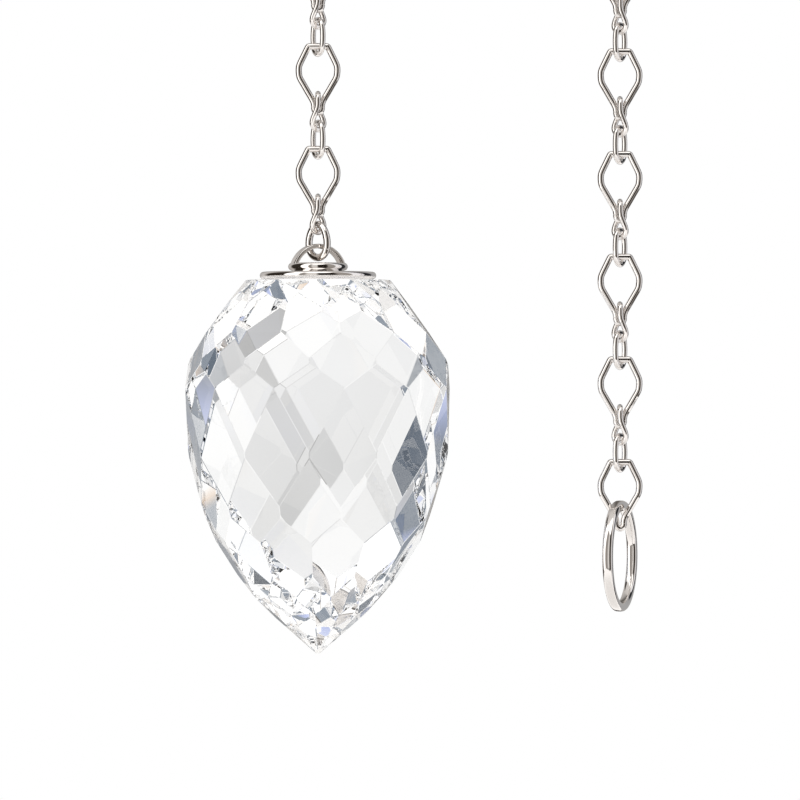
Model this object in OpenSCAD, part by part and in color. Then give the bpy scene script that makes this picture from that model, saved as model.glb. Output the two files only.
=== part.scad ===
// Pendulum pendant: a faceted crystal drop under a silver cap, hung on a
// chain of diamond links that turns over and comes down to a plain ring.
// Millimetres, +Z up. The origin is the top of the chain's turn, where it
// hangs. +X is the photo's right and +Y points away from the viewer.

/* [Chain route] */
// Distance between the two hanging strands, centre to centre
strand_spacing = 30.2; // [28:0.1:40]
// Diamond links on the strand that carries the crystal
drop_side_diamonds = 7; // [4:1:9]
// Diamond links on the strand that ends in the ring
ring_side_diamonds = 10; // [5:1:12]
// How far the crown link's flat end lies from the top of the turn
crown_offset = 2.5; // [2:0.05:4.5]
// Gap between pieces that hang in each other
gap = 0.17; // [0.16:0.01:0.2]

/* [Diamond link] */
// Wire of the diamond links
diamond_wire = 0.64; // [0.5:0.02:0.7]
// Outside length of a diamond link
diamond_length = 7.25; // [7.2:0.05:9]
// Outside width at its widest point
diamond_width = 4.5; // [4.2:0.05:5.4]
// Slit between the two wires of the narrow lower end
neck_slit = 0.1; // [0.08:0.01:0.14]

/* [Small links] */
// Wire of the two small oval links between diamonds
small_wire = 0.56; // [0.44:0.02:0.6]
// Outside length of the upper small link
upper_length = 4.16; // [3.96:0.02:4.7]
// Outside width of the upper small link
upper_width = 2.26; // [2.24:0.02:2.6]
// Outside length of the lower small link
lower_length = 4; // [3.9:0.02:4.8]
// Outside width of the lower small link
lower_width = 2.75; // [2.7:0.05:3]
// Turn of the upper small link about its length, at its top
upper_turn = 90; // [86:1:92]
// Turn of the upper small link at its foot
upper_foot_turn = 42; // [40:1:44]
// Turn of the lower small link
lower_turn = 117; // [116:1:118]

/* [Cap link and end ring] */
// Wire of the oval link that carries the cap
cap_link_wire = 0.74; // [0.56:0.02:0.74]
// Outside length of that link
cap_link_length = 4.05; // [4:0.05:4.8]
// Outside width of that link
cap_link_width = 3.5; // [3.4:0.05:4]
// How much narrower that link is at its top
cap_link_taper = 0.28; // [0:0.02:0.3]
// Turn of that link from face-on
cap_link_turn = 135; // [130:1:140]
// Outside diameter of the end ring
ring_outside = 11.1; // [9:0.1:16]
// Thickness of the end ring's band, from its inside to its outside
ring_thick = 0.9; // [0.7:0.05:1.1]
// Width of that band along the ring's axis
ring_width = 1.05; // [0.8:0.05:1.2]
// Broken edge of the band on its outside
ring_edge = 0.12; // [0.05:0.01:0.2]
// Broken edge of the band on its inside
ring_ease = 0.3; // [0.1:0.02:0.34]
// Turn of the end ring from face-on
ring_turn = 74; // [60:1:90]

/* [Cap] */
// Thickness of the strap that makes the bail
strap_thick = 0.45; // [0.35:0.05:0.6]
// Width of that strap
strap_width = 1.2; // [0.8:0.05:1.25]
// Outside radius of its bend
strap_bend = 3; // [2.9:0.05:3.1]
// Turn of the strap from face-on
strap_turn = 26; // [20:1:30]
// Clear height under the strap's middle
bail_clear = 1.46; // [1.44:0.02:1.6]
// Diameter of the upper disc
boss_diameter = 5.98; // [5.9:0.02:7]
// Thickness of the upper disc
boss_thick = 0.76; // [0.6:0.02:1]
// Groove between the discs
groove = 0.14; // [0.1:0.02:0.2]
// Diameter of the flange
flange_diameter = 11.64; // [9:0.02:12.6]
// Thickness of the flange
flange_thick = 0.72; // [0.5:0.02:1]

/* [Crystal] */
// Height of the crystal from its table to its tip
crystal_height = 37.5; // [30:0.5:48]
// Nominal radius that the facet table is a share of
crystal_radius = 13.2; // [12.9:0.1:15]
// Facets in each ring
facets_round = 12; // [10:1:14]
// Turn of the facets about the axis
facet_turn = -3; // [-15:1:15]
// Glue line between the cap and the table
glue_gap = 0.1; // [0.1:0.01:0.2]

/* [Hidden] */
$fn = 64;
wire_sides = 6;

// Diamond link, half its wire's middle line: share of the half width, share
// of the length, from the middle of the flat top to where the neck starts.
across = 0;
down = 1;
diamond_half = [[0, 0], [0.5, 0], [0.95, 0.269], [1, 0.36], [0.9, 0.5], [0.25, 0.832]];
leg_from = 4;
leg_to = 5;

// Rings of facets, from the table down: share of the height, share of the
// radius, lean in shares of the radius for each share of the height.
// The last ring runs to the tip.
ring_at = 0;
ring_out = 1;
ring_lean = 2;
facet_rings = [
    [0.021, 0.587, 2.7], [0.107, 0.765, 2], [0.203, 0.93, 1.08],
    [0.309, 0.987, 0], [0.445, 0.958, -0.406], [0.6, 0.864, -0.91],
    [0.733, 0.685, -1.76], [0.858, 0.436, -2.45], [0.964, 0.113, 0]
];

// Middle-line sizes of the links.
turn_r = strand_spacing / 2;
diamond_reach = diamond_length - diamond_wire;
diamond_half_w = (diamond_width - diamond_wire) / 2;
neck_half = (diamond_wire + neck_slit) / 2;
upper_reach = upper_length - small_wire;
upper_end = 0.96 * (upper_width - small_wire) / 2;
lower_end = 0.9 * (lower_width - small_wire) / 2;
cap_link_end = 0.96 * (cap_link_width - cap_link_wire) / 2;
lower_reach = lower_length - small_wire;
cap_link_reach = cap_link_length - cap_link_wire;
ring_reach = ring_outside - ring_thick;

// Where a wire of the given size settles between a diamond's straight legs.
// bend is the radius at which that wire's own link turns down beside the legs.
function on_diamond(i) =
    [diamond_half[i][across] * diamond_half_w, diamond_half[i][down] * diamond_reach];
leg_a = on_diamond(leg_from);
leg_b = on_diamond(leg_to);
leg_run = (leg_b - leg_a) / norm(leg_b - leg_a);
function sag(bend, half) = bend - sqrt(bend * bend - half * half);
function hook(wire, bend) =
    leg_a[down] - sag(bend, diamond_wire / 2)
        + (leg_a[across] * leg_run[down] - (diamond_wire + wire) / 2 - gap) / abs(leg_run[across]);

// Steps from the top wire of one link to the top wire of the next.
step_diamond = hook(small_wire, upper_end);
step_upper = upper_reach - small_wire - gap;
step_lower = lower_reach - (small_wire + diamond_wire) / 2 - gap;
step_crown = (small_wire + diamond_wire) / 2 + gap;
step_cap_link = upper_reach - (small_wire + cap_link_wire) / 2 - gap;

// The route: a half circle over the two strands, then straight down.
quarter = PI * turn_r / 2;
function route(s) = s < quarter
    ? [turn_r * sin(s / turn_r * 180 / PI), 0, turn_r * (cos(s / turn_r * 180 / PI) - 1)]
    : [turn_r, 0, -turn_r - (s - quarter)];
function along(s, step) = s < quarter - step
    ? s + 2 * turn_r * asin(step / 2 / turn_r) * PI / 180
    : s + step;

// Tops of the links in hanging order, as distances along the route.
function step_of(i) = i % 3 == 0 ? step_upper : i % 3 == 1 ? step_lower : step_diamond;
function tops(s, i, count) = i == count ? [s] : concat([s], tops(along(s, step_of(i)), i + 1, count));
drop_tops = tops(crown_offset - step_crown, 0, 3 * drop_side_diamonds);
ring_tops = tops(along(-crown_offset, step_diamond), 0, 3 * ring_side_diamonds - 1);

// Closed middle lines, as distance across and distance along the link.
neck_turn = [
    [neck_half, leg_b[down] + 1.4 * neck_half],
    [neck_half, diamond_reach - neck_half],
    [0, diamond_reach]
];
half_line = concat([for (i = [0:len(diamond_half) - 1]) on_diamond(i)], neck_turn);
diamond_line = concat(half_line,
    [for (i = [len(half_line) - 2:-1:1]) [-half_line[i][across], half_line[i][down]]]);

// An oval of four arcs: two ends of radius end_r and two long sides that meet them smoothly.
end_steps = 6;
side_steps = 2;
function side_r(width, reach, end_r) =
    (pow(reach / 2 - end_r, 2) + pow(width / 2, 2) - end_r * end_r) / (width - 2 * end_r);
function end_angle(width, reach, end_r) =
    atan2(reach / 2 - end_r, side_r(width, reach, end_r) - width / 2);
function oval_line(width, reach, end_r) =
    let (
        big = side_r(width, reach, end_r),
        reach_out = end_angle(width, reach, end_r),
        top = [for (i = [0:end_steps])
            let (t = (90 - reach_out) * (2 * i / end_steps - 1)) [end_r * sin(t), end_r * (1 - cos(t))]],
        right = [for (i = [1:side_steps - 1])
            let (t = reach_out * (1 - 2 * i / side_steps))
            [width / 2 - big * (1 - cos(t)), reach / 2 - big * sin(t)]]
    )
    concat(top, right, [for (p = top) [-p[0], reach - p[1]]], [for (p = right) [-p[0], reach - p[1]]]);

// A wire with a six-sided section swept along a closed middle line. The link
// starts at "top", runs along "way" in the XZ plane, and its flat face turns
// from turn_a at the top to turn_b at the other end, between twist_from and
// twist_to of its length.
twist_from = 0.3;
twist_to = 0.9;
function eased(t) = t < 0 ? 0 : t > 1 ? 1 : t * t * (3 - 2 * t);
module wire_link(line, wire, reach, top, way, turn_a, turn_b) {
    n = len(line);
    side = [-way[2], 0, way[0]];
    function pt(i, k) =
        let (
            p = line[i % n],
            d1 = p - line[(i + n - 1) % n],
            d2 = line[(i + 1) % n] - p,
            u1 = d1 / norm(d1),
            u2 = d2 / norm(d2),
            m = (u1 + u2) / norm(u1 + u2),
            out = [m[1], -m[0]] / max(0.8, m * u1),
            a = 360 * (k + 0.5) / wire_sides,
            q = p + out * (wire / 2 * cos(a)),
            b = wire / 2 * sin(a),
            f = turn_a + (turn_b - turn_a) * eased((p[1] / reach - twist_from) / (twist_to - twist_from))
        )
        top + way * q[1] + (side * cos(f) + [0, 1, 0] * sin(f)) * q[0]
            + ([0, 1, 0] * cos(f) - side * sin(f)) * b;
    polyhedron(
        points = [for (i = [0:n - 1]) for (k = [0:wire_sides - 1]) pt(i, k)],
        faces = [for (i = [0:n - 1]) for (k = [0:wire_sides - 1]) for (h = [0, 1])
            let (
                j = (i + 1) % n,
                l = (k + 1) % wire_sides,
                w = wire_sides
            )
            h == 0 ? [i * w + k, j * w + l, j * w + k] : [i * w + k, i * w + l, j * w + l]]);
}

// One link of a strand. hand is 1 on the ring's side and -1 on the drop's.
function mirrored(p, hand) = [hand * p[0], p[1], p[2]];
module strand_link(i, s, hand) {
    kind = i % 3;
    step = kind == 0 ? step_upper : kind == 1 ? step_lower : step_diamond;
    a = route(s);
    b = route(along(s, step));
    way = mirrored((b - a) / norm(b - a), hand);
    top = mirrored(a, hand);
    if (kind == 0)
        wire_link(oval_line(upper_width - small_wire, upper_reach, upper_end), small_wire, upper_reach,
            top, way, -hand * upper_turn, -hand * upper_foot_turn);
    if (kind == 1)
        wire_link(oval_line(lower_width - small_wire, lower_reach, lower_end), small_wire, lower_reach,
            top, way, -hand * lower_turn, -hand * lower_turn);
    if (kind == 2)
        wire_link(diamond_line, diamond_wire, diamond_reach, top, way, 0, 0);
}

module chain_drop_side() {
    color("silver") {
        for (i = [0:len(drop_tops) - 1]) strand_link(i, drop_tops[i], -1);
    }
}

module chain_ring_side() {
    color("silver") {
        crown_a = mirrored(route(crown_offset), -1);
        crown_b = route(ring_tops[0]);
        wire_link(diamond_line, diamond_wire, diamond_reach, crown_a,
            (crown_b - crown_a) / norm(crown_b - crown_a), 0, 0);
        for (i = [0:len(ring_tops) - 1]) strand_link(i, ring_tops[i], 1);
    }
}

// The link that carries the cap, and all that hangs below it.
cap_link_top = route(drop_tops[len(drop_tops) - 1])[2] - step_cap_link;
cap_link_foot = cap_link_top - cap_link_reach;
strap_skew = cap_link_turn - strap_turn - 90;
strap_reach = strap_width / 2 / cos(strap_skew) + cap_link_wire / 2 * tan(abs(strap_skew));
strap_under = cap_link_foot + sag(cap_link_end, strap_reach)
    + cap_link_wire / 2 + gap + sag(strap_bend - strap_thick, cap_link_wire);
boss_top = strap_under - bail_clear;
boss_foot = boss_top - boss_thick;
flange_top = boss_foot - groove;
flange_foot = flange_top - flange_thick;
table_z = flange_foot - glue_gap;

module cap_link() {
    oval = oval_line(cap_link_width - cap_link_wire, cap_link_reach, cap_link_end);
    egg = [for (p = oval)
        [p[across] * (1 - cap_link_taper * pow(1 - p[down] / cap_link_reach, 2)), p[down]]];
    color("silver")
        wire_link(egg, cap_link_wire, cap_link_reach, [-turn_r, 0, cap_link_top], [0, 0, -1],
            cap_link_turn, cap_link_turn);
}

// A disc with a fully rounded rim, standing on z = 0.
module rim_disc(diameter, thick) {
    rotate_extrude() {
        square([diameter / 2 - thick / 2, thick]);
        translate([diameter / 2 - thick / 2, thick / 2]) intersection() {
            circle(d = thick);
            translate([0, -thick / 2]) square([thick / 2, thick]);
        }
    }
}

module cap() {
    color("silver")
        translate([-turn_r, 0, 0]) {
            // Bail: a strap bent to a low arch and soldered to the upper disc.
            intersection() {
                translate([0, 0, strap_under + strap_thick - strap_bend])
                    rotate([0, 0, strap_turn])
                        rotate([90, 0, 0])
                            difference() {
                                cylinder(r = strap_bend, h = strap_width, center = true);
                                cylinder(r = strap_bend - strap_thick, h = strap_width + 1, center = true);
                            }
                translate([0, 0, boss_top - boss_thick / 4])
                    cylinder(r = strap_bend + 1, h = bail_clear + strap_thick + boss_thick);
            }
            translate([0, 0, boss_foot]) rim_disc(boss_diameter, boss_thick);
            translate([0, 0, flange_top - 0.1])
                cylinder(d = boss_diameter - boss_thick, h = groove + 0.2);
            translate([0, 0, flange_foot]) rim_disc(flange_diameter, flange_thick);
        }
}

// The radius of a ring's flat faces at a depth, both as shares.
last_ring = len(facet_rings) - 1;
half_step = 180 / facets_round;
function lean(k) = k < last_ring ? facet_rings[k][ring_lean]
    : -facet_rings[k][ring_out] / (1 - facet_rings[k][ring_at]);
function face_r(k, d) = facet_rings[k][ring_out] + lean(k) * (d - facet_rings[k][ring_at]);
// Depth at which ring a's faces reach the edge between two faces of ring b.
function meet(a, b) =
    (face_r(b, 0) / cos(half_step) - face_r(a, 0)) / (lean(a) - lean(b) / cos(half_step));
// A corner on ring k's faces at a depth, for each face round the axis.
function corners(k, d) = [for (j = [0:facets_round - 1])
    let (t = 270 + facet_turn + half_step * (2 * j + (k + 1) % 2), r = face_r(k, d) * crystal_radius)
    [r * cos(t), r * sin(t), -d * crystal_height]];
table_r = face_r(0, 0) / cos(half_step) * crystal_radius;

module crystal() {
    points = [
        for (j = [0:facets_round - 1])
            let (t = 270 + facet_turn + half_step * 2 * j) [table_r * cos(t), table_r * sin(t), 0],
        for (k = [0:last_ring - 1]) each corners(k, meet(k, k + 1)),
        for (k = [1:last_ring - 1]) each corners(k + 1, meet(k + 1, k)),
        [0, 0, -crystal_height]
    ];
    color("white")
        translate([-turn_r, 0, table_z])
            hull() polyhedron(points, [[for (i = [0:len(points) - 1]) i]]);
}

// Plain end ring of a flat band, hung between the legs of the last diamond link.
// Its section is a list of corners: distance along the axis, distance outward.
ring_half = [
    [ring_width / 2 - ring_edge, ring_thick / 2], [ring_width / 2, ring_thick / 2 - ring_edge],
    [ring_width / 2, ring_ease - ring_thick / 2], [ring_width / 2 - ring_ease, -ring_thick / 2]
];
ring_section = concat(ring_half, [for (i = [3:-1:0]) [-ring_half[i][0], ring_half[i][1]]]);
ring_support = max([for (c = ring_half) c[0] * leg_run[down] + c[1] * leg_run[across]]);
ring_last = ring_tops[len(ring_tops) - 1];
ring_top_z = route(ring_last)[2] - hook(2 * ring_support, ring_reach / 2);

module end_ring() {
    color("silver")
        translate([turn_r, 0, ring_top_z - ring_reach / 2])
            rotate([0, 0, ring_turn])
                rotate([90, 0, 0])
                    rotate_extrude($fn = 96)
                        polygon([for (c = ring_section) [ring_reach / 2 + c[1], c[0]]]);
}

crystal();
cap();
cap_link();
chain_drop_side();
chain_ring_side();
end_ring();
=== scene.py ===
"""Looks for the pendulum pendant: a clear crystal drop under a bright cap, on a chain of
diamond links and small ovals that turns over and ends in a plain ring.
Sizes are in millimetres here and turned to metres where a mesh is made."""

import bmesh
import bpy
import numpy as np
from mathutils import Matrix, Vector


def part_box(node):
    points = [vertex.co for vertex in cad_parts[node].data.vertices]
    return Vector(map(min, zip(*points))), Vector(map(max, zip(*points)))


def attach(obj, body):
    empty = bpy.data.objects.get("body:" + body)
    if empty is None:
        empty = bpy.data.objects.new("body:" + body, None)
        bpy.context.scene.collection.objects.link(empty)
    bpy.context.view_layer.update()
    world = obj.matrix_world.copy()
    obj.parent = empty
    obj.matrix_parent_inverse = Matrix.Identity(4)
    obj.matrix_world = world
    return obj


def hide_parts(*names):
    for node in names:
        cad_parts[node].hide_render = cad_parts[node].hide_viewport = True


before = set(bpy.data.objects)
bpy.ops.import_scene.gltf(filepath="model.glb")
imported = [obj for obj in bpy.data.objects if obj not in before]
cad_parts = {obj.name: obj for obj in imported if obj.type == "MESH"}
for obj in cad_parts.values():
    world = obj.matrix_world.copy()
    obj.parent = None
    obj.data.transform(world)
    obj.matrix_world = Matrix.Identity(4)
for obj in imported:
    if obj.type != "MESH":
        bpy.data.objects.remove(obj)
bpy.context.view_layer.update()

MM = 0.001
DOWN = np.array([0, 0, -1.0])

# Chain, as the part's source has it
STRAND_SPACING = 30.2
DROP_SIDE_DIAMONDS = 7
RING_SIDE_DIAMONDS = 10
CROWN_OFFSET = 2.5
GAP = 0.17
DIAMOND_WIRE, DIAMOND_LENGTH, DIAMOND_WIDTH, NECK_SLIT = 0.64, 7.25, 4.5, 0.1
SMALL_WIRE = 0.56
UPPER_LENGTH, UPPER_WIDTH = 4.16, 2.26
LOWER_LENGTH, LOWER_WIDTH = 4.0, 2.75
UPPER_TURN, UPPER_FOOT_TURN, LOWER_TURN = 90, 42, 117
TWIST_FROM, TWIST_TO = 0.3, 0.9
# Radius of an oval's ends, as a share of the half width of its middle line
UPPER_END, LOWER_END, CAP_LINK_END = 0.96, 0.9, 0.96

# Cap link and end ring
CAP_LINK_WIRE, CAP_LINK_LENGTH, CAP_LINK_WIDTH = 0.74, 4.05, 3.5
CAP_LINK_TAPER, CAP_LINK_TURN = 0.28, 135
RING_OUTSIDE, RING_THICK, RING_WIDTH, RING_TURN = 11.1, 0.9, 1.05, 74

# Cap
STRAP_THICK, STRAP_WIDTH, STRAP_BEND, STRAP_TURN = 0.45, 1.2, 3.0, 26
BOSS_DIAMETER, BOSS_THICK, GROOVE = 5.98, 0.76, 0.14
FLANGE_DIAMETER, FLANGE_THICK = 11.64, 0.72
BAIL_CLEAR = 1.46
# How wide the groove's foot flares, how deep the bail's feet sink into the disc as a share
# of its thickness, and the power that rounds the strap's edges
GROOVE_FLARE, FOOT_SINK, STRAP_POWER = 0.35, 0.25, 0.42
STRAP_STEPS, STRAP_SIDES = 72, 28

# Crystal
CRYSTAL_HEIGHT, CRYSTAL_RADIUS = 37.5, 13.2
FACETS_ROUND, FACET_TURN = 12, -3
# Corners closer than this are one, faces within this many degrees are one facet, and
# edges sharper than that many are broken by so much
SAME_CORNER, SAME_FACET = 0.02, 1.2
BROKEN_EDGE, BROKEN_FROM = 0.05, 2
# Rings of facets from the table down, each a share of the height, a share of the
# radius and a lean. The last ring runs to the tip.
FACET_RINGS = np.array([
    (0.021, 0.587, 2.7), (0.107, 0.765, 2.0), (0.203, 0.93, 1.08),
    (0.309, 0.987, 0.0), (0.445, 0.958, -0.406), (0.6, 0.864, -0.91),
    (0.733, 0.685, -1.76), (0.858, 0.436, -2.45), (0.964, 0.113, -3.139)])

# Diamond link, half its wire's middle line: share of the half width and of the length
DIAMOND_HALF = np.array([
    (0, 0), (0.42, 0), (0.5, 0.006), (0.56, 0.035), (0.74, 0.142), (0.91, 0.245), (0.98, 0.3),
    (1, 0.355), (0.985, 0.42), (0.93, 0.484), (0.72, 0.592), (0.5, 0.704), (0.25, 0.832)])
LEG_FROM, LEG_TO = (0.9, 0.5), (0.25, 0.832)

# The room that the metal mirrors: share of the full turn round the horizon from straight
# behind the pendant by its left, the camera (0.5) and its right; colour; gain
WALLS = [
    (0.0, "#6A6662", 0.8), (0.03, "#B8B5B2", 0.9), (0.12, "#D0CDCA", 1.0), (0.15, "#A09C98", 0.9),
    (0.17, "#4A433C", 0.5), (0.30, "#4A433C", 0.5), (0.315, "#FFFDFA", 2.0), (0.385, "#FFFDFA", 2.0),
    (0.40, "#A39E99", 0.9), (0.425, "#A39E99", 0.9), (0.44, "#E4E1DD", 1.0), (0.49, "#E4E1DD", 1.0),
    (0.505, "#40372F", 0.4), (0.60, "#40372F", 0.4), (0.62, "#A8A39E", 0.9), (0.695, "#A8A39E", 0.9),
    (0.71, "#F6F6F8", 1.1), (0.785, "#F0F0F4", 1.1), (0.80, "#3A3C40", 0.45), (0.86, "#44464A", 0.5),
    (0.88, "#B0B0B2", 0.9), (0.93, "#B8B8B8", 0.9), (0.97, "#B8B5B2", 0.9), (1.0, "#6A6662", 0.8)]
# Up and down in that room: the skirting where the walls meet the floor, and the ceiling
# in front and behind. Each pair is where the change starts and ends, as the ray's height.
SKIRTING, SKIRTING_EDGE, CEILING_EDGE = "#4E4843", (-0.45, -0.38), (0.85, 0.92)
CEILING = [(0.0, "#F4F2F0", 1.2), (0.7, "#D3D0CC", 1.0), (0.86, "#2E2D2B", 0.5), (1.0, "#2E2D2B", 0.5)]
# The soft box overhead: colour and gain, its direction, and its edge as the cosine from it
SOFT_BOX, SOFT_BOX_AT, SOFT_BOX_EDGE = ("#FFFEFC", 1.6), (0.0, -0.42, 0.91), (0.93, 0.95)
# What the crystal gathers from the sides: share of a soft noise over the directions;
# colour; gain. Cool dark patches with a warm or a blue rim, then white.
PATCHES = [
    (0.0, "#3E4956", 0.8), (0.22, "#5A6675", 0.9), (0.345, "#939EAB", 0.9), (0.355, "#F0D8C0", 1.0),
    (0.37, "#FFFFFF", 1.2), (0.59, "#FFFFFF", 1.1), (0.61, "#BCC8F4", 1.0), (0.625, "#7F8A99", 0.9),
    (0.72, "#9AA4B0", 0.9), (0.78, "#F2F4F8", 1.0), (1.0, "#FFFFFF", 1.2)]
# How fine the patches are, which of the noise's patterns they follow, and how much of the
# noise's span they take
PATCH_SCALE, PATCH_TURN, PATCH_SPAN = 3.9, 8.9, (0.25, 0.75)
# What it gathers from behind: the backdrop, faintly uneven, and how far back it starts
BACKDROP = [(0.0, "#B8B8B8", 1.0), (0.3, "#DEDEDE", 1.0), (0.55, "#EFEFEF", 1.0), (1.0, "#FCFCFC", 1.0)]
BACKDROP_SCALE, BACKDROP_SPAN, BACKDROP_EDGE = 4.0, (0.34, 0.64), (0.70, 0.84)
# The floor, far below, and its glow as pairs of metres from the hanging point and strength:
# it grows outwards, so that the floor fades into the white backdrop
FLOOR_HALF, FLOOR_Z = 1680, -1000
GLOW_FROM, GLOW_TO = (1.15, 0.35), (1.7, 0.6)
# Waves in the plate's polish are 1.4 mm long, streaks in the glass 17 mm
WAVES_PER_METRE, STREAKS_PER_METRE = 700.0, 60.0
# The camera: how far off, how wide the picture is there, and what it looks at across and up
CAMERA_FAR, PICTURE_WIDE, AIM_ACROSS, AIM_UP, SENSOR = 600.0, 80.0, -6.9, -85.4, 36
# How many times light may turn inside the crystal before it is lost
BOUNCES = 24


def put_mesh(name, verts, faces, smooth=True):
    """A mesh object at the origin from points in millimetres and arrays of faces."""
    mesh = bpy.data.meshes.new(name)
    mesh.from_pydata((np.asarray(verts) * MM).tolist(), [], [f for part in faces for f in part.tolist()])
    mesh.polygons.foreach_set("use_smooth", [smooth] * len(mesh.polygons))
    obj = bpy.data.objects.new(name, mesh)
    bpy.context.collection.objects.link(obj)
    return obj


def grid_faces(rows, cols, close_rows=True, close_cols=True):
    """Quads of a grid of points that may close on itself both ways."""
    i = np.arange(rows if close_rows else rows - 1)[:, None]
    j = np.arange(cols if close_cols else cols - 1)[None, :]
    i2, j2 = (i + 1) % rows, (j + 1) % cols
    quad = [i * cols + j, i * cols + j2, i2 * cols + j2, i2 * cols + j]
    return np.stack(np.broadcast_arrays(*quad), -1).reshape(-1, 4)


def closed_curve(points, steps):
    """A smooth closed curve through the points: on each stretch the cubic whose slope
    at each point is half the way from the point before to the point after."""
    p = np.asarray(points, float)
    before, after, last = np.roll(p, 1, 0), np.roll(p, -1, 0), np.roll(p, -2, 0)
    t = (np.arange(steps) / steps)[None, :, None]
    a, b, c, d = before[:, None], p[:, None], after[:, None], last[:, None]
    curve = 0.5 * (2 * b + (c - a) * t + (2 * a - 5 * b + 4 * c - d) * t**2
                   + (3 * b - a - 3 * c + d) * t**3)
    return curve.reshape(-1, p.shape[1])


def diamond_line():
    """The closed middle line of a diamond link, across and down, round its neck."""
    reach = DIAMOND_LENGTH - DIAMOND_WIRE
    half = DIAMOND_HALF * ((DIAMOND_WIDTH - DIAMOND_WIRE) / 2, reach)
    neck = (DIAMOND_WIRE + NECK_SLIT) / 2
    # The wire eases into the neck, runs down it and rounds its foot
    turn = np.array([
        (neck, half[-1, 1] + 1.4 * neck), (neck, reach - 1.3 * neck),
        (neck, reach - neck), (0.7 * neck, reach - 0.3 * neck), (0, reach)])
    right = np.vstack([half, turn])
    left = right[-2:0:-1] * (-1, 1)
    return closed_curve(np.vstack([right, left]), steps=3)


def oval_line(width, reach, end_share, steps=12):
    """An oval of four arcs, across and down: two ends of one radius, and two long sides
    whose radius is the one at which they meet the ends smoothly."""
    end = end_share * width / 2
    side = ((reach / 2 - end)**2 + (width / 2)**2 - end**2) / (width - 2 * end)
    split = np.arctan2(reach / 2 - end, side - width / 2)
    t = np.linspace(-1, 1, steps + 1) * (np.pi / 2 - split)
    top = np.stack([end * np.sin(t), end * (1 - np.cos(t))], -1)
    t = np.linspace(1, -1, steps // 2 + 1)[1:-1] * split
    right = np.stack([width / 2 - side * (1 - np.cos(t)), reach / 2 - side * np.sin(t)], -1)
    half = np.vstack([top, right])
    return np.vstack([half, (0, reach) - half])


def round_section(wire, sides=14):
    """A round wire's section, outward and along the flat: a circle."""
    a = np.linspace(0, 2 * np.pi, sides, endpoint=False)
    return wire / 2 * np.stack([np.cos(a), np.sin(a)], -1)


def band_section(thick, width, steps=44):
    """A flat band's section, outward and along the flat: a rectangle with crowned faces and
    eased corners, the curve |x|^3 + |y|^3 = 1 stretched to the band."""
    a = np.linspace(0, 2 * np.pi, steps, endpoint=False)
    both = np.stack([np.cos(a), np.sin(a)], -1)
    return np.sign(both) * np.abs(both)**(2 / 3) * (thick / 2, width / 2)


def wire_link(line, section, reach, top, way, turn_from, turn_to):
    """Points and faces of a wire along a flat closed line. The line hangs from top along way,
    and its plane turns about way from turn_from to turn_to degrees, between two shares of
    the way down, by the smooth step t * t * (3 - 2 t)."""
    side = np.array([-way[2], 0, way[0]])
    front = np.array([0.0, 1, 0])
    t = np.clip((line[:, 1] / reach - TWIST_FROM) / (TWIST_TO - TWIST_FROM), 0, 1)
    turn = np.radians(turn_from + (turn_to - turn_from) * t * t * (3 - 2 * t))
    c, s = np.cos(turn)[:, None], np.sin(turn)[:, None]
    middle = top + line[:, 1:] * way + line[:, :1] * (side * c + front * s)
    along = np.roll(middle, -1, 0) - np.roll(middle, 1, 0)
    along /= np.linalg.norm(along, axis=1, keepdims=True)
    flat = front * c - side * s
    flat -= (flat * along).sum(1, keepdims=True) * along
    flat /= np.linalg.norm(flat, axis=1, keepdims=True)
    out = np.cross(flat, along)
    ring = middle[:, None] + section[None, :, :1] * out[:, None] + section[None, :, 1:] * flat[:, None]
    return ring.reshape(-1, 3), [grid_faces(len(line), len(section))]


def joined(parts):
    """Several (points, arrays of faces) as one."""
    starts = np.cumsum([0] + [len(v) for v, _ in parts[:-1]])
    return np.vstack([v for v, _ in parts]), [f + n for (_, faces), n in zip(parts, starts) for f in faces]


def sag(bend, half):
    """How far an arc of radius bend falls over half a chord."""
    return bend - np.sqrt(bend**2 - half**2)


def hook(wire, bend):
    """How far below a diamond's top a wire settles between its straight legs: its middle is
    half of both wires and the gap away from each leg, and the fall of its own bend over half
    the diamond's wire comes off."""
    half_w, reach = (DIAMOND_WIDTH - DIAMOND_WIRE) / 2, DIAMOND_LENGTH - DIAMOND_WIRE
    a, b = np.array(LEG_FROM) * (half_w, reach), np.array(LEG_TO) * (half_w, reach)
    run = (b - a) / np.linalg.norm(b - a)
    clear = (DIAMOND_WIRE + wire) / 2 + GAP
    return a[1] - sag(bend, DIAMOND_WIRE / 2) + (a[0] * run[1] - clear) / abs(run[0])


TURN_R = STRAND_SPACING / 2
QUARTER = np.pi * TURN_R / 2
UPPER_REACH = UPPER_LENGTH - SMALL_WIRE
LOWER_REACH = LOWER_LENGTH - SMALL_WIRE
DIAMOND_REACH = DIAMOND_LENGTH - DIAMOND_WIRE
STEPS = (UPPER_REACH - SMALL_WIRE - GAP,
         LOWER_REACH - (SMALL_WIRE + DIAMOND_WIRE) / 2 - GAP,
         hook(SMALL_WIRE, UPPER_END * (UPPER_WIDTH - SMALL_WIRE) / 2))
STEP_CROWN = (SMALL_WIRE + DIAMOND_WIRE) / 2 + GAP


def route(s):
    """A point of the chain's route: a half circle over both strands, then straight down."""
    if s < QUARTER:
        return np.array([TURN_R * np.sin(s / TURN_R), 0, TURN_R * (np.cos(s / TURN_R) - 1)])
    return np.array([TURN_R, 0, -TURN_R - (s - QUARTER)])


def along_route(s, step):
    """The next hanging point: a chord of that step on the arc, and the step itself below."""
    return s + 2 * TURN_R * np.arcsin(step / 2 / TURN_R) if s < QUARTER - step else s + step


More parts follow.
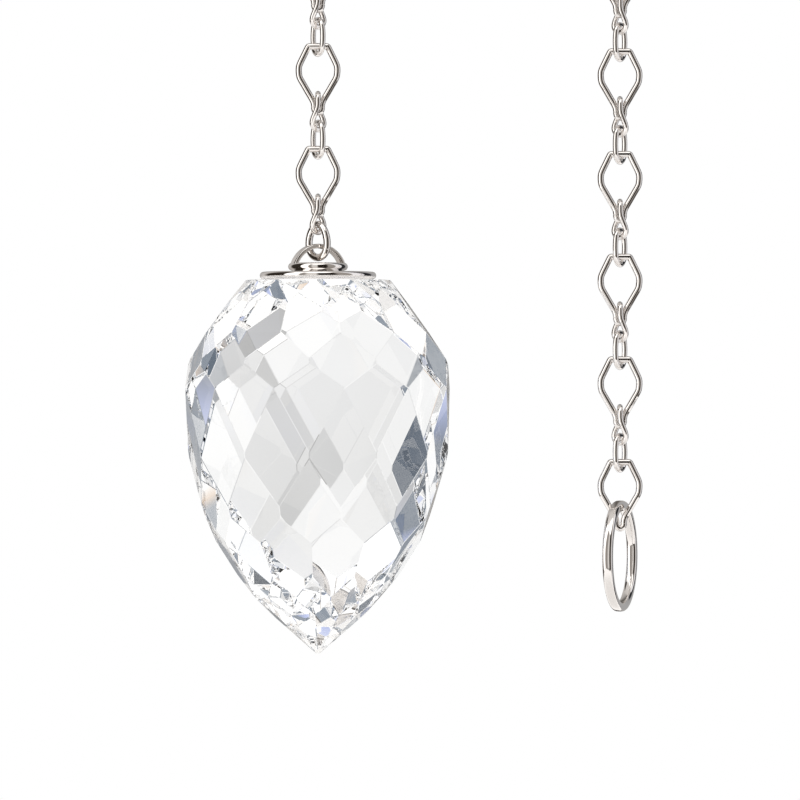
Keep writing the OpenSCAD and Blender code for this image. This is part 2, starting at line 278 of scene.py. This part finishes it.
def strand(start, count, hand):
    """The links of one strand from its first hanging point: upper oval, lower oval, diamond."""
    upper_oval = oval_line(UPPER_WIDTH - SMALL_WIRE, UPPER_REACH, UPPER_END)
    lower_oval = oval_line(LOWER_WIDTH - SMALL_WIRE, LOWER_REACH, LOWER_END)
    small, thick = round_section(SMALL_WIRE), round_section(DIAMOND_WIRE)
    kinds = ((upper_oval, small, UPPER_REACH, UPPER_TURN, UPPER_FOOT_TURN),
             (lower_oval, small, LOWER_REACH, LOWER_TURN, LOWER_TURN),
             (diamond_line(), thick, DIAMOND_REACH, 0, 0))
    flip, parts, s = np.array([hand, 1, 1]), [], start
    for i in range(count):
        line, section, reach, turn, foot_turn = kinds[i % 3]
        nxt = along_route(s, STEPS[i % 3])
        a, b = route(s) * flip, route(nxt) * flip
        way = (b - a) / np.linalg.norm(b - a)
        parts.append(wire_link(line, section, reach, a, way, -hand * turn, -hand * foot_turn))
        s = nxt
    return parts, s


def chain_strands():
    """Both strands. The crown link lies across the top of the turn and goes with the ring's."""
    drop, _ = strand(CROWN_OFFSET - STEP_CROWN, 3 * DROP_SIDE_DIAMONDS + 1, -1)
    first = along_route(-CROWN_OFFSET, STEPS[2])
    ring, _ = strand(first, 3 * RING_SIDE_DIAMONDS, 1)
    a, b = route(CROWN_OFFSET) * (-1, 1, 1), route(first)
    crown = wire_link(diamond_line(), round_section(DIAMOND_WIRE), DIAMOND_REACH, a,
                      (b - a) / np.linalg.norm(b - a), 0, 0)
    return put_mesh("drop_side_links", *joined(drop)), put_mesh("ring_side_links", *joined([crown] + ring))


def middle_of(node):
    """The middle of a CAD node's box and its half size, in millimetres."""
    low, high = (np.array(c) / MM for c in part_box(node))
    return (low + high) / 2, (high - low) / 2


def cap_link():
    """The oval link through the bail, turned about the vertical. Its head narrows by
    CAP_LINK_TAPER times the square of the share of the way up."""
    centre, half = middle_of("cap_link")
    reach = CAP_LINK_LENGTH - CAP_LINK_WIRE
    top = centre + (0, 0, half[2] - CAP_LINK_WIRE / 2)
    line = oval_line(CAP_LINK_WIDTH - CAP_LINK_WIRE, reach, CAP_LINK_END, steps=20)
    line[:, 0] *= 1 - CAP_LINK_TAPER * (1 - line[:, 1] / reach)**2
    section = round_section(CAP_LINK_WIRE, sides=22)
    return put_mesh("cap_link_wire", *wire_link(
        line, section, reach, top, DOWN, CAP_LINK_TURN, CAP_LINK_TURN))


def end_ring():
    """A plain ring of flat band, turned about the vertical."""
    centre, half = middle_of("end_ring")
    reach = RING_OUTSIDE - RING_THICK
    t = np.linspace(0, 2 * np.pi, 144, endpoint=False)
    line = reach / 2 * np.stack([np.sin(t), 1 - np.cos(t)], -1)
    section = band_section(RING_THICK, RING_WIDTH)
    top = centre + (0, 0, half[2] - RING_THICK / 2)
    return put_mesh("end_ring_band", *wire_link(
        line, section, reach, top, DOWN, RING_TURN, RING_TURN))


def turned(profile, steps=160):
    """A profile of (radius, height) turned about the vertical. Its first and last points lie
    on the axis and close it with fans."""
    a = np.linspace(0, 2 * np.pi, steps, endpoint=False)[:, None]
    inner = profile[1:-1]
    r, z = inner[:, 0][None], inner[:, 1][None]
    grid = np.stack([r * np.cos(a), r * np.sin(a), z + 0 * a], -1)
    poles = [(0, 0, profile[0, 1]), (0, 0, profile[-1, 1])]
    i = np.arange(steps) * len(inner)
    j, first = np.roll(i, -1), steps * len(inner)
    foot = np.stack([i, 0 * i + first, j], -1)
    head = np.stack([j, 0 * i + first + 1, i], -1) + (len(inner) - 1, 0, len(inner) - 1)
    sides = grid_faces(steps, len(inner), True, False)[:, ::-1]
    return np.vstack([grid.reshape(-1, 3), poles]), [sides, foot, head]


def rounded_rim(radius, thick, foot, steps=14):
    """(radius, height) points of a disc's half-round rim, from its foot up."""
    t = np.linspace(-np.pi / 2, np.pi / 2, steps)
    return np.stack([radius - thick / 2 + thick / 2 * np.cos(t), foot + thick / 2 * (1 + np.sin(t))], -1)


def cap():
    """Flange, groove and upper disc as one turned body, and the bail soldered on it."""
    centre, half = middle_of("cap")
    foot = centre[2] - half[2]
    boss_foot = foot + FLANGE_THICK + GROOVE
    boss_top = boss_foot + BOSS_THICK
    neck_r = (BOSS_DIAMETER - BOSS_THICK) / 2
    profile = np.vstack([
        [(0, foot)], rounded_rim(FLANGE_DIAMETER / 2, FLANGE_THICK, foot),
        [(neck_r + GROOVE_FLARE, foot + FLANGE_THICK), (neck_r, foot + FLANGE_THICK + GROOVE / 2)],
        rounded_rim(BOSS_DIAMETER / 2, BOSS_THICK, boss_foot),
        [(0, boss_top)]])
    disc, disc_faces = turned(profile)
    disc = disc + (centre[0], centre[1], 0)

    # The bail is a strap carried round an arc. Its section is an ellipse whose cosine and
    # sine are raised to STRAP_POWER, which squares it and leaves the edges rounded.
    crown = boss_top + BAIL_CLEAR + STRAP_THICK
    hub = crown - STRAP_BEND
    reach = np.arccos((boss_top - BOSS_THICK * FOOT_SINK - hub) / STRAP_BEND)
    t = np.linspace(-reach, reach, STRAP_STEPS)[:, None]
    a = np.linspace(0, 2 * np.pi, STRAP_SIDES, endpoint=False)[None]
    wide = STRAP_WIDTH / 2 * np.sign(np.cos(a)) * np.abs(np.cos(a)) ** STRAP_POWER
    thick = STRAP_THICK / 2 * np.sign(np.sin(a)) * np.abs(np.sin(a)) ** STRAP_POWER
    r = STRAP_BEND - STRAP_THICK / 2 + thick
    x, y, z = r * np.sin(t), wide + 0 * t, hub + r * np.cos(t)
    turn = np.radians(STRAP_TURN)
    strap = np.stack([x * np.cos(turn) - y * np.sin(turn) + centre[0],
                      x * np.sin(turn) + y * np.cos(turn) + centre[1], z], -1)
    ring = np.arange(STRAP_SIDES)
    strap_faces = [grid_faces(STRAP_STEPS, STRAP_SIDES, False, True),
                   ring[None, ::-1], (STRAP_STEPS - 1) * STRAP_SIDES + ring[None]]
    return put_mesh("cap_metal", *joined([(disc, disc_faces), (strap.reshape(-1, 3), strap_faces)]))


def crystal_points():
    """Corners of the cut crystal. A ring's flat faces lie at radius out + lean * (depth - at);
    on a meridian two rings meet where one's radius equals the other's over cos(half step)."""
    at, out, lean = FACET_RINGS.T
    k = np.arange(len(at))
    half = np.pi / FACETS_ROUND
    r0 = out - lean * at

    def corners(a, b):
        depth = (r0[b] / np.cos(half) - r0[a]) / (lean[a] - lean[b] / np.cos(half))
        r = (r0[a] + lean[a] * depth) * CRYSTAL_RADIUS
        j = np.arange(FACETS_ROUND)[None]
        t = np.radians(270 + FACET_TURN) + half * (2 * j + (a[:, None] + 1) % 2)
        x, y, z = r[:, None] * np.cos(t), r[:, None] * np.sin(t), -depth[:, None] * CRYSTAL_HEIGHT + 0 * t
        return np.stack([x, y, z], -1).reshape(-1, 3)

    j = np.arange(FACETS_ROUND)
    t = np.radians(270 + FACET_TURN) + half * 2 * j
    rim = r0[0] / np.cos(half) * CRYSTAL_RADIUS
    table = np.stack([rim * np.cos(t), rim * np.sin(t), 0 * t], -1)
    return np.vstack([table, corners(k[:-1], k[1:]), corners(k[2:], k[1:-1]), [(0, 0, -CRYSTAL_HEIGHT)]])


def crystal():
    """The cut crystal as flat many-sided faces, with edges a hair's breadth broken."""
    centre, half = middle_of("crystal")
    points = crystal_points() + (middle_of("cap")[0][0], 0, centre[2] + half[2])
    mesh = bpy.data.meshes.new("cut_crystal")
    mesh.from_pydata((points * MM).tolist(), [], [])
    bm = bmesh.new()
    bm.from_mesh(mesh)
    bmesh.ops.remove_doubles(bm, verts=bm.verts, dist=SAME_CORNER * MM)
    hull = bmesh.ops.convex_hull(bm, input=bm.verts)
    inside = [v for v in hull["geom_interior"] if isinstance(v, bmesh.types.BMVert)]
    bmesh.ops.delete(bm, geom=inside, context="VERTS")
    bmesh.ops.dissolve_limit(bm, angle_limit=np.radians(SAME_FACET), verts=bm.verts, edges=bm.edges)
    bmesh.ops.recalc_face_normals(bm, faces=bm.faces)
    bm.to_mesh(mesh)
    bm.free()
    obj = bpy.data.objects.new("cut_crystal", mesh)
    bpy.context.collection.objects.link(obj)
    edge = obj.modifiers.new("broken_edges", "BEVEL")
    edge.width, edge.segments = BROKEN_EDGE * MM, 1
    edge.limit_method, edge.angle_limit = "ANGLE", np.radians(BROKEN_FROM)
    return obj


def colour(hex_code, gain=1.0):
    """An sRGB hex colour as Blender's linear numbers, with a gain for lamps."""
    c = np.array([int(hex_code[i:i + 2], 16) / 255 for i in (1, 3, 5)])
    linear = np.where(c <= 0.04045, c / 12.92, ((c + 0.055) / 1.055) ** 2.4)
    return (*(gain * linear).tolist(), 1.0)


def add_node(tree, kind, inputs=(), stops=(), **settings):
    """One node. Inputs are pairs of an input's name or number and the socket or value that it
    takes, stops are a ramp's (position, colour) pairs, and settings name the node's own
    settings or, where it has none of that name, an input's value."""
    node = tree.nodes.new(kind)
    for name, value in settings.items():
        if hasattr(node, name):
            setattr(node, name, value)
        else:
            node.inputs[name.replace("_", " ")].default_value = value
    for i, (position, shade) in enumerate(stops):
        stop = node.color_ramp.elements[i] if i < 2 else node.color_ramp.elements.new(position)
        stop.position, stop.color = position, shade
    for name, given in inputs:
        if isinstance(given, bpy.types.NodeSocket):
            tree.links.new(given, node.inputs[name])
        else:
            node.inputs[name].default_value = given
    return node


def new_material(name):
    """An empty material and its tree."""
    mat = bpy.data.materials.new(name)
    mat.use_nodes = True
    mat.node_tree.nodes.clear()
    return mat, mat.node_tree


def rhodium_plate():
    """Rhodium-plated brass, tumble polished: a bright mirror, a shade warm, broken up by faint
    waves of the polish."""
    mat, tree = new_material("rhodium_plate")
    place = add_node(tree, "ShaderNodeTexCoord").outputs["Object"]
    wave = add_node(tree, "ShaderNodeTexNoise", [("Vector", place)], Scale=WAVES_PER_METRE, Detail=2.0)
    rough = add_node(tree, "ShaderNodeMapRange", [("Value", wave.outputs["Fac"])],
                     From_Min=0.3, From_Max=0.7, To_Min=0.02, To_Max=0.09)
    bump = add_node(tree, "ShaderNodeBump", [("Height", wave.outputs["Fac"])],
                    Strength=0.06, Distance=0.05 * MM)
    metal = add_node(tree, "ShaderNodeBsdfPrincipled",
                     [("Roughness", rough.outputs["Result"]), ("Normal", bump.outputs["Normal"])],
                     Base_Color=colour("#ECE8E5"), Metallic=1.0)
    add_node(tree, "ShaderNodeOutputMaterial", [("Surface", metal.outputs["BSDF"])])
    return mat


def cut_crystal_glass():
    """Crystal glass without lead, cut and polished: water clear, with faint streaks of the
    melt that tint it here and there."""
    mat, tree = new_material("cut_crystal_glass")
    place = add_node(tree, "ShaderNodeTexCoord").outputs["Object"]
    streak = add_node(tree, "ShaderNodeTexNoise", [("Vector", place)],
                      Scale=STREAKS_PER_METRE, Detail=2.0)
    tint = add_node(tree, "ShaderNodeValToRGB", [("Fac", streak.outputs["Fac"])],
                    [(0.4, colour("#FAFAF9")), (0.6, colour("#FFFFFF"))])
    glass = add_node(tree, "ShaderNodeBsdfPrincipled", [("Base Color", tint.outputs["Color"])],
                     Roughness=0.0, IOR=1.545, Transmission_Weight=1.0)
    add_node(tree, "ShaderNodeOutputMaterial", [("Surface", glass.outputs["BSDF"])])
    return mat


def studio():
    """A light tent: white backdrop and floor, soft boxes round the camera and overhead, and
    dark gaps between them, which draw the edges of the metal and of the facets."""
    world = bpy.data.worlds.new("studio")
    bpy.context.scene.world = world
    world.use_nodes = True
    tree = world.node_tree
    tree.nodes.clear()

    def colours_along(value, span, table):
        """The colours of a table's rows (share of the span, colour, gain) along a value."""
        share = add_node(tree, "ShaderNodeMapRange", [("Value", value)],
                         From_Min=span[0], From_Max=span[1])
        stops = [(place, colour(code, gain)) for place, code, gain in table]
        shades = add_node(tree, "ShaderNodeValToRGB", [("Fac", share.outputs["Result"])], stops)
        return shades.outputs["Color"]

    def change(value, span, before, after):
        """One look where the value is before a span, another where it is past it."""
        share = add_node(tree, "ShaderNodeMapRange", [("Value", value)],
                         From_Min=span[0], From_Max=span[1])
        # Inputs 0, 6 and 7 of a mix are the share and the two colours, and output 2 is the mix
        both = [(0, share.outputs["Result"]), (6, before), (7, after)]
        return add_node(tree, "ShaderNodeMix", both, data_type="RGBA").outputs[2]

    ray = add_node(tree, "ShaderNodeTexCoord").outputs["Generated"]
    axes = add_node(tree, "ShaderNodeSeparateXYZ", [("Vector", ray)])
    x, y, z = (axes.outputs[c] for c in "XYZ")

    # The room that the metal mirrors
    front = add_node(tree, "ShaderNodeMath", [(0, y), (1, -1)], operation="MULTIPLY")
    turn = add_node(tree, "ShaderNodeMath", [(0, x), (1, front.outputs["Value"])], operation="ARCTAN2")
    walls = colours_along(turn.outputs["Value"], (-np.pi, np.pi), WALLS)
    room = change(z, SKIRTING_EDGE, colour(SKIRTING), walls)
    room = change(z, CEILING_EDGE, room, colours_along(y, (-1, 1), CEILING))
    near_box = add_node(tree, "ShaderNodeVectorMath", [(0, ray), (1, SOFT_BOX_AT)], operation="DOT_PRODUCT")
    room = change(near_box.outputs["Value"], SOFT_BOX_EDGE, room, colour(*SOFT_BOX))

    # The tent that the crystal gathers
    blots = add_node(tree, "ShaderNodeTexNoise", [("Vector", ray)], noise_dimensions="4D",
                     Scale=PATCH_SCALE, Detail=3.0, W=PATCH_TURN)
    clouds = add_node(tree, "ShaderNodeTexNoise", [("Vector", ray)], Scale=BACKDROP_SCALE, Detail=1.0)
    sides = colours_along(blots.outputs["Fac"], PATCH_SPAN, PATCHES)
    behind = colours_along(clouds.outputs["Fac"], BACKDROP_SPAN, BACKDROP)
    tent = change(y, BACKDROP_EDGE, sides, behind)

    path = add_node(tree, "ShaderNodeLightPath")
    seen = change(path.outputs["Is Transmission Ray"], (0, 1), room, tent)
    seen = change(path.outputs["Is Camera Ray"], (0, 1), seen, colour("#FFFFFF"))
    sky = add_node(tree, "ShaderNodeBackground", [("Color", seen)])
    add_node(tree, "ShaderNodeOutputWorld", [("Surface", sky.outputs["Background"])])

    w, z = FLOOR_HALF, FLOOR_Z
    floor = put_mesh("floor", [(-w, -w, z), (w, -w, z), (w, w, z), (-w, w, z)],
                     [np.array([(0, 1, 2, 3)])], smooth=False)
    # The floor's glow is painted light, not a lamp: its emission rises from the middle outwards so that the
    # floor shows white and fades into the white backdrop.
    mat, tree = new_material("floor_painted_glow")
    place = add_node(tree, "ShaderNodeTexCoord").outputs["Object"]
    away = add_node(tree, "ShaderNodeVectorMath", [(0, place)], operation="LENGTH")
    glow = add_node(tree, "ShaderNodeMapRange", [("Value", away.outputs["Value"])],
                    From_Min=GLOW_FROM[0], From_Max=GLOW_TO[0], To_Min=GLOW_FROM[1], To_Max=GLOW_TO[1])
    glowing_floor = add_node(tree, "ShaderNodeBsdfPrincipled", [("Emission Strength", glow.outputs["Result"])],
                     Base_Color=colour("#F4F3F2"), Roughness=0.9, Emission_Color=colour("#FFFFFF"))
    add_node(tree, "ShaderNodeOutputMaterial", [("Surface", glowing_floor.outputs["BSDF"])])
    floor.data.materials.append(mat)


def camera():
    """Level camera, straight in front, framed as the photograph."""
    data = bpy.data.cameras.new("camera")
    data.sensor_width = SENSOR
    data.lens = SENSOR * CAMERA_FAR / PICTURE_WIDE
    data.clip_start, data.clip_end = 0.01, 20
    eye = bpy.data.objects.new("camera", data)
    bpy.context.collection.objects.link(eye)
    eye.location = (AIM_ACROSS * MM, -CAMERA_FAR * MM, AIM_UP * MM)
    eye.rotation_euler = (np.pi / 2, 0, 0)
    bpy.context.scene.camera = eye


silver, glass = rhodium_plate(), cut_crystal_glass()
drop_links, ring_links = chain_strands()
for piece, node, body, mat, slot in (
        (drop_links, "chain_drop_side", "chain", silver, "polished_silver"),
        (ring_links, "chain_ring_side", "chain", silver, "polished_silver"),
        (cap_link(), "cap_link", "chain", silver, "polished_silver"),
        (end_ring(), "end_ring", "chain", silver, "polished_silver"),
        (cap(), "cap", "drop", silver, "polished_silver"),
        (crystal(), "crystal", "drop", glass, "clear_crystal")):
    piece.data.materials.append(mat)
    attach(piece, body)
    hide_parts(node)
studio()
camera()
bpy.context.scene.view_settings.view_transform = "Standard"
paths = bpy.context.scene.cycles
paths.max_bounces = paths.glossy_bounces = paths.transmission_bounces = BOUNCES
